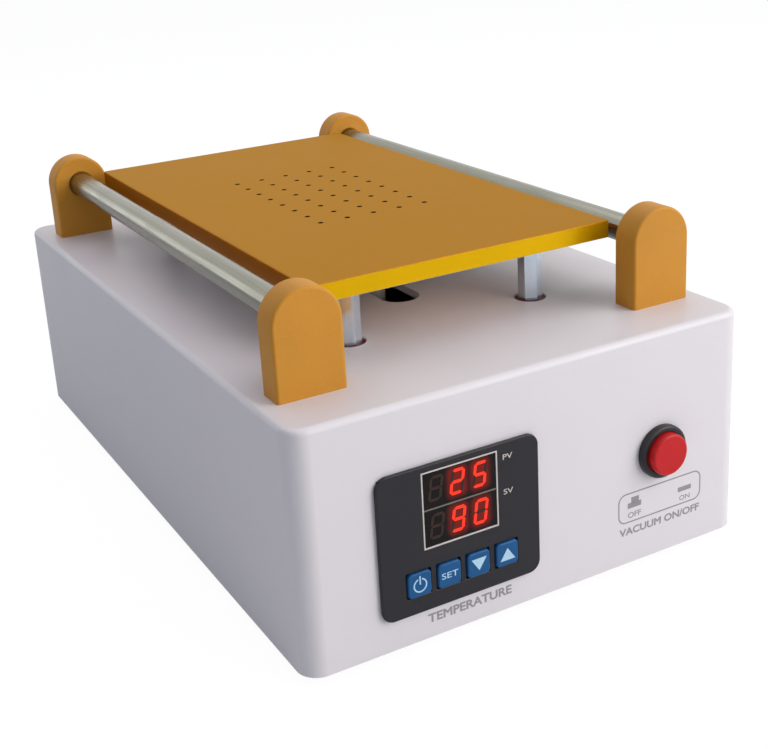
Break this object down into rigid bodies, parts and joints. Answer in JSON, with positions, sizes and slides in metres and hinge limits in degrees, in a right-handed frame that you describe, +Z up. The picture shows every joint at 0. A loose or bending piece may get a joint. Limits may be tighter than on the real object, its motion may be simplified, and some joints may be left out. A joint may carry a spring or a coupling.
{
  "type": "vacuum screen separator",
  "caption": "Bench hot plate with suction holes over a pump case, for loosening and lifting glued screens; guide rods each side, temperature controller and suction button.",
  "frame": {"origin": "on the surface the feet stand on, under the middle of the case", "axes": "+Z up; +Y towards the rear wall with the mains inlet, so the control face looks along -Y; +X to the right as the control face is seen"},
  "size_m": [0.14, 0.2344, 0.0979],
  "materials": {
    "case_white": "fine satin white moulding",
    "base_steel": "zinc-plated sheet",
    "dark_screws": "black oxide",
    "foot_rubber": "matt black rubber",
    "zinc_screws": "bright zinc",
    "bracket_ochre": "satin ochre moulding",
    "rod_steel": "satin galvanised",
    "post_zinc": "bright zinc",
    "fibre_red": "red fibre",
    "plate_gold": "gold anodised, bead blasted",
    "silicone_red": "silicone rubber",
    "bare_aluminium": "mill finish",
    "brass": "turned",
    "black_plastic": "fine matt",
    "clear_silicone": "milky silicone tube",
    "lead_sleeve": "silicone sleeve",
    "panel_charcoal": "fine matt",
    "board_green": "solder mask",
    "display_black": "tinted window",
    "key_blue": "moulded blue",
    "terminal_green": "moulded",
    "switch_grey": "satin",
    "button_red": "polished moulding",
    "motor_steel": "plated can",
    "pump_grey": "moulded",
    "rotor_copper": "laminations and windings",
    "cradle_white": "moulded",
    "transformer_yellow": "taped winding",
    "capacitor_blue": "shrink sleeve"
  },
  "bodies": {
    "base": {"case_shell": "case_white", "base_plate": "base_steel", "deck_plate_front": "base_steel", "deck_plate_rear": "base_steel", "base_screws": "dark_screws", "bracket_screws": "dark_screws", "post_screws": "dark_screws", "plate_screws": "dark_screws", "foot_front_left": "foot_rubber", "foot_front_right": "foot_rubber", "foot_rear_left": "foot_rubber", "foot_rear_right": "foot_rubber", "foot_screws": "zinc_screws", "inlet_screws": "zinc_screws", "fixing_screws": "zinc_screws", "suction_switch_nut": "zinc_screws", "bracket_front_left": "bracket_ochre", "bracket_front_right": "bracket_ochre", "bracket_rear_left": "bracket_ochre", "bracket_rear_right": "bracket_ochre", "posts": "post_zinc", "post_washers": "fibre_red", "heating_plate": "plate_gold", "suction_gasket": "silicone_red", "heater_pad": "silicone_red", "suction_cover": "bare_aluminium", "heat_shield": "bare_aluminium", "temperature_sensor": "bare_aluminium", "suction_nozzle": "brass", "inlet_pins": "brass", "thermal_cutout": "black_plastic", "key_switches": "black_plastic", "inlet_socket": "black_plastic", "rocker_housing": "black_plastic", "pump_head": "black_plastic", "controller_housing": "black_plastic", "vacuum_hose": "clear_silicone", "plate_leads": "lead_sleeve", "power_leads": "lead_sleeve", "controller_bezel": "panel_charcoal", "controller_board": "board_green", "supply_board": "board_green", "display_window": "display_black", "display_modules": "display_black", "terminal_block": "terminal_green", "suction_switch_body": "switch_grey", "pump_motor": "motor_steel", "pump_crankcase": "pump_grey", "pump_cradle": "cradle_white", "supply_transformer": "transformer_yellow", "supply_capacitors": "capacitor_blue"},
    "rod_left": {"guide_rod_left": "rod_steel"},
    "rod_right": {"guide_rod_right": "rod_steel"},
    "key_power": {"key_power": "key_blue"},
    "key_set": {"key_set": "key_blue"},
    "key_down": {"key_down": "key_blue"},
    "key_up": {"key_up": "key_blue"},
    "button": {"suction_button": "button_red"},
    "rocker": {"power_rocker": "black_plastic"},
    "rotor": {"pump_rotor": "rotor_copper"}
  },
  "joints": [
    {"name": "rod_left_spin", "type": "hinge", "parent": "base", "child": "rod_left", "pos_m": [-0.0548, 0.001, 0.0883], "axis": [0, 1, 0], "continuous": true},
    {"name": "rod_right_spin", "type": "hinge", "parent": "base", "child": "rod_right", "pos_m": [0.0548, 0.001, 0.0883], "axis": [0, 1, 0], "continuous": true},
    {"name": "key_power_press", "type": "slide", "parent": "base", "child": "key_power", "axis": [0, 1, 0], "range_m": [0, 0.0004], "stiffness_N_per_m": 800, "springref_m": -0.0005},
    {"name": "key_set_press", "type": "slide", "parent": "base", "child": "key_set", "axis": [0, 1, 0], "range_m": [0, 0.0004], "stiffness_N_per_m": 800, "springref_m": -0.0005},
    {"name": "key_down_press", "type": "slide", "parent": "base", "child": "key_down", "axis": [0, 1, 0], "range_m": [0, 0.0004], "stiffness_N_per_m": 800, "springref_m": -0.0005},
    {"name": "key_up_press", "type": "slide", "parent": "base", "child": "key_up", "axis": [0, 1, 0], "range_m": [0, 0.0004], "stiffness_N_per_m": 800, "springref_m": -0.0005},
    {"name": "suction_button_press", "type": "slide", "parent": "base", "child": "button", "axis": [0, 1, 0], "range_m": [0, 0.0025], "stiffness_N_per_m": 400, "springref_m": -0.002},
    {"name": "power_rocker_tilt", "type": "hinge", "parent": "base", "child": "rocker", "pos_m": [-0.008, 0.1136, 0.033], "axis": [1, 0, 0], "range_deg": [-16, 0]},
    {"name": "pump_rotor_spin", "type": "hinge", "parent": "base", "child": "rotor", "pos_m": [0.032, 0.001, 0.027], "axis": [0, 1, 0], "continuous": true}
  ]
}
